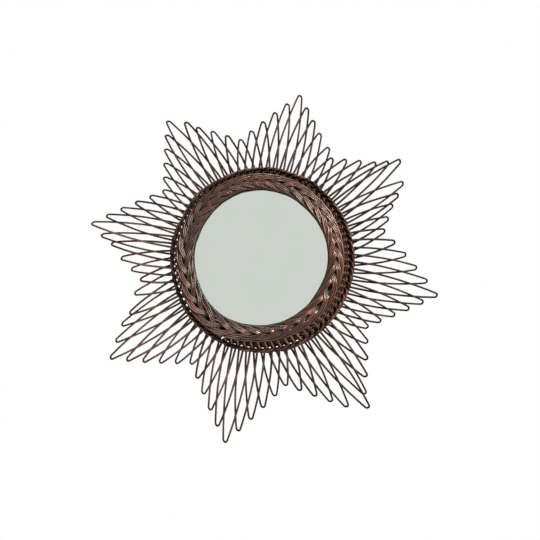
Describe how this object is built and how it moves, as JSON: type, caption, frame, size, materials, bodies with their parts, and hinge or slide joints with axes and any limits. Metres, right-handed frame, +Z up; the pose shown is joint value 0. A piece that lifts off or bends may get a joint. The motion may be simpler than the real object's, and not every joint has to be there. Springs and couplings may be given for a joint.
{
  "type": "wall mirror",
  "caption": "Round wall mirror in a sunburst frame woven from varnished rods, with a plaited border, looped star points and a nail bar behind.",
  "frame": {"origin": "top centre of the foot ring's flat back, on the wall; the middle of the glass is 133.5 mm below it", "axes": "+Z up the wall, +Y into the wall, -Y is the mirrored face, X along the wall with +X to the viewer's right"},
  "size_m": [0.5219, 0.0356, 0.5256],
  "materials": {
    "rod_varnish": "dark varnished peeled rod, semi-gloss",
    "plait_varnish": "reddish brown varnished rod, glossier than the points",
    "mirror_glass": "silvered float glass",
    "backing_board": "bare brown hardboard"
  },
  "bodies": {
    "root": {"backing_board": "backing_board", "band_weaver": "rod_varnish", "foot_ring": "rod_varnish", "hanging_bar": "rod_varnish", "mirror_glass": "mirror_glass", "plait_strand_1": "plait_varnish", "plait_strand_2": "plait_varnish", "plait_strand_3": "plait_varnish", "stake_band": "rod_varnish", "star_point_1": "rod_varnish", "star_point_2": "rod_varnish", "star_point_3": "rod_varnish", "star_point_4": "rod_varnish", "star_point_5": "rod_varnish", "star_point_6": "rod_varnish", "star_point_7": "rod_varnish", "star_point_8": "rod_varnish"}
  },
  "joints": []
}
